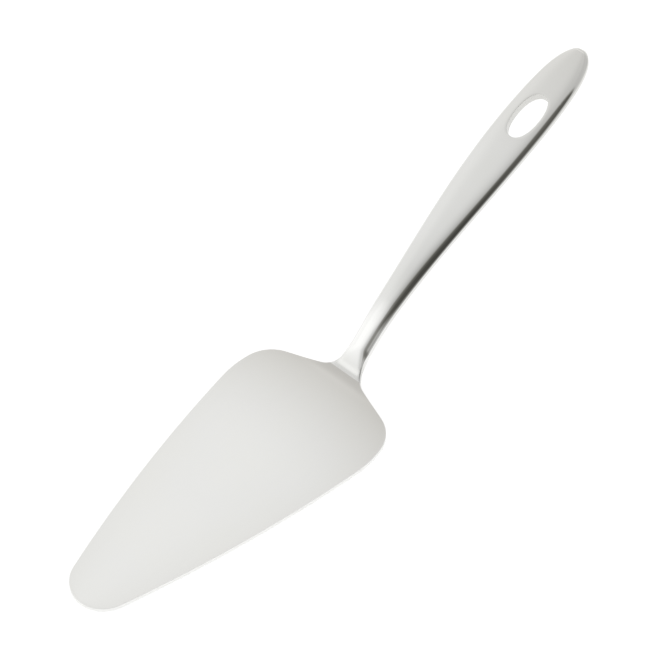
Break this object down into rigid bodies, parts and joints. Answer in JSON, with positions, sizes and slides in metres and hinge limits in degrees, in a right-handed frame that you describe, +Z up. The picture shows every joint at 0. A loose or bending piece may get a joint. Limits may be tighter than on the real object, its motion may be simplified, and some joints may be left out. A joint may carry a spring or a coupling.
{
  "type": "cake server",
  "caption": "Cake server of stainless steel: a flat satin blade with a rounded tip and a cranked, polished handle with an oval hanging eye.",
  "frame": {"origin": "on the underside of the blade, on its centreline, where the blade is widest", "axes": "+X along the centreline from the tip towards the end of the handle, +Y across the blade, +Z up from the surface that the blade rests on"},
  "size_m": [0.2556, 0.0644, 0.0705],
  "materials": {
    "satin_steel": "fine satin, ground along the blade",
    "polished_steel": "mirror polish"
  },
  "bodies": {
    "root": {"blade": "satin_steel", "handle": "polished_steel"}
  },
  "joints": []
}
